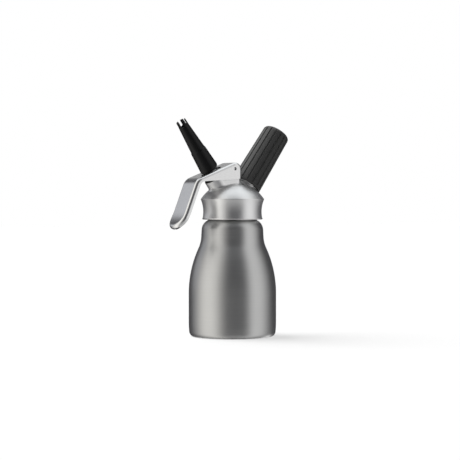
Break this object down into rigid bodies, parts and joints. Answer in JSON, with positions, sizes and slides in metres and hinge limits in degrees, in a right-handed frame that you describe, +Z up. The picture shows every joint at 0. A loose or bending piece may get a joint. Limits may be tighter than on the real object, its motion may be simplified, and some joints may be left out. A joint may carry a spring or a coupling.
{
  "type": "cream whipper",
  "caption": "Brushed steel cream whipper: double-walled bottle, screwed metal head with squeeze lever and spring valve, slanted decorating nozzle and ribbed gas charger holder.",
  "frame": {"origin": "centre of the flat base, on the bottle's axis", "axes": "+Z up along the bottle's axis, -X towards the lever and nozzle, +X towards the charger holder, the XZ plane is the plane of symmetry"},
  "size_m": [0.1275, 0.085, 0.2107],
  "materials": {
    "shell_steel": "fine brushed, satin",
    "liner_steel": "satin",
    "head_metal": "satin",
    "lever_metal": "fine satin",
    "pin_steel": "bright",
    "charger_steel": "lacquered steel",
    "nozzle_black": "slightly glossy",
    "holder_black": "matt",
    "black_plastic": "matt",
    "black_rubber": "matt",
    "white_rubber": "matt",
    "brass": "machined"
  },
  "bodies": {
    "bottle": {"bottle_shell": "shell_steel", "bottle_liner": "liner_steel", "base_plate": "liner_steel"},
    "gasket": {"head_gasket": "white_rubber"},
    "head": {"head_body": "head_metal", "lever_pin": "pin_steel", "stem_ring": "black_rubber", "valve_gland": "black_plastic", "valve_spring": "pin_steel", "charger_stud": "head_metal", "piercing_pin": "pin_steel", "charger_seal": "black_rubber", "check_valve": "black_rubber"},
    "lever": {"lever": "lever_metal"},
    "stem": {"valve_stem": "pin_steel", "valve_seal": "black_rubber", "nozzle_adapter": "pin_steel"},
    "nozzle_washer": {"nozzle_seal": "black_rubber"},
    "nozzle": {"decorator_nozzle": "nozzle_black"},
    "charger": {"gas_charger": "charger_steel"},
    "holder": {"charger_holder": "holder_black", "holder_insert": "brass"}
  },
  "joints": [
    {"name": "head_rise", "type": "slide", "parent": "bottle", "child": "gasket", "axis": [0, 0, 1], "range_m": [0, 0.009]},
    {"name": "head_turn", "type": "hinge", "parent": "gasket", "child": "head", "pos_m": [0, 0, 0.12801], "axis": [0, 0, 1], "range_deg": [0, 1080]},
    {"name": "stem_press", "type": "slide", "parent": "head", "child": "stem", "axis": [0.5664, 0, -0.8241], "range_m": [0, 0.002], "stiffness_N_per_m": 500, "springref_m": -0.006, "deforming": ["valve_spring"]},
    {"name": "lever_press", "type": "hinge", "parent": "head", "child": "lever", "pos_m": [-0.0046, 0, 0.16271], "axis": [0, -1, 0], "range_deg": [0, 6.53]},
    {"name": "nozzle_rise", "type": "slide", "parent": "stem", "child": "nozzle_washer", "axis": [-0.5664, 0, 0.8241], "range_m": [0, 0.0075]},
    {"name": "nozzle_turn", "type": "hinge", "parent": "nozzle_washer", "child": "nozzle", "pos_m": [-0.02832, 0, 0.16622], "axis": [-0.5664, 0, 0.8241], "range_deg": [0, 1800]},
    {"name": "charger_rise", "type": "slide", "parent": "head", "child": "charger", "axis": [0.5664, 0, 0.8241], "range_m": [0, 0.006]},
    {"name": "holder_turn", "type": "hinge", "parent": "charger", "child": "holder", "pos_m": [0.02832, 0, 0.16622], "axis": [0.5664, 0, 0.8241], "range_deg": [0, 1440]}
  ],
  "couplings": [
    {"joint": "head_turn", "follows": "head_rise", "rad_per_m": 2094.4},
    {"joint": "lever_press", "follows": "stem_press", "rad_per_m": 56.985},
    {"joint": "nozzle_turn", "follows": "nozzle_rise", "rad_per_m": 4188.8},
    {"joint": "holder_turn", "follows": "charger_rise", "rad_per_m": 4188.8}
  ]
}
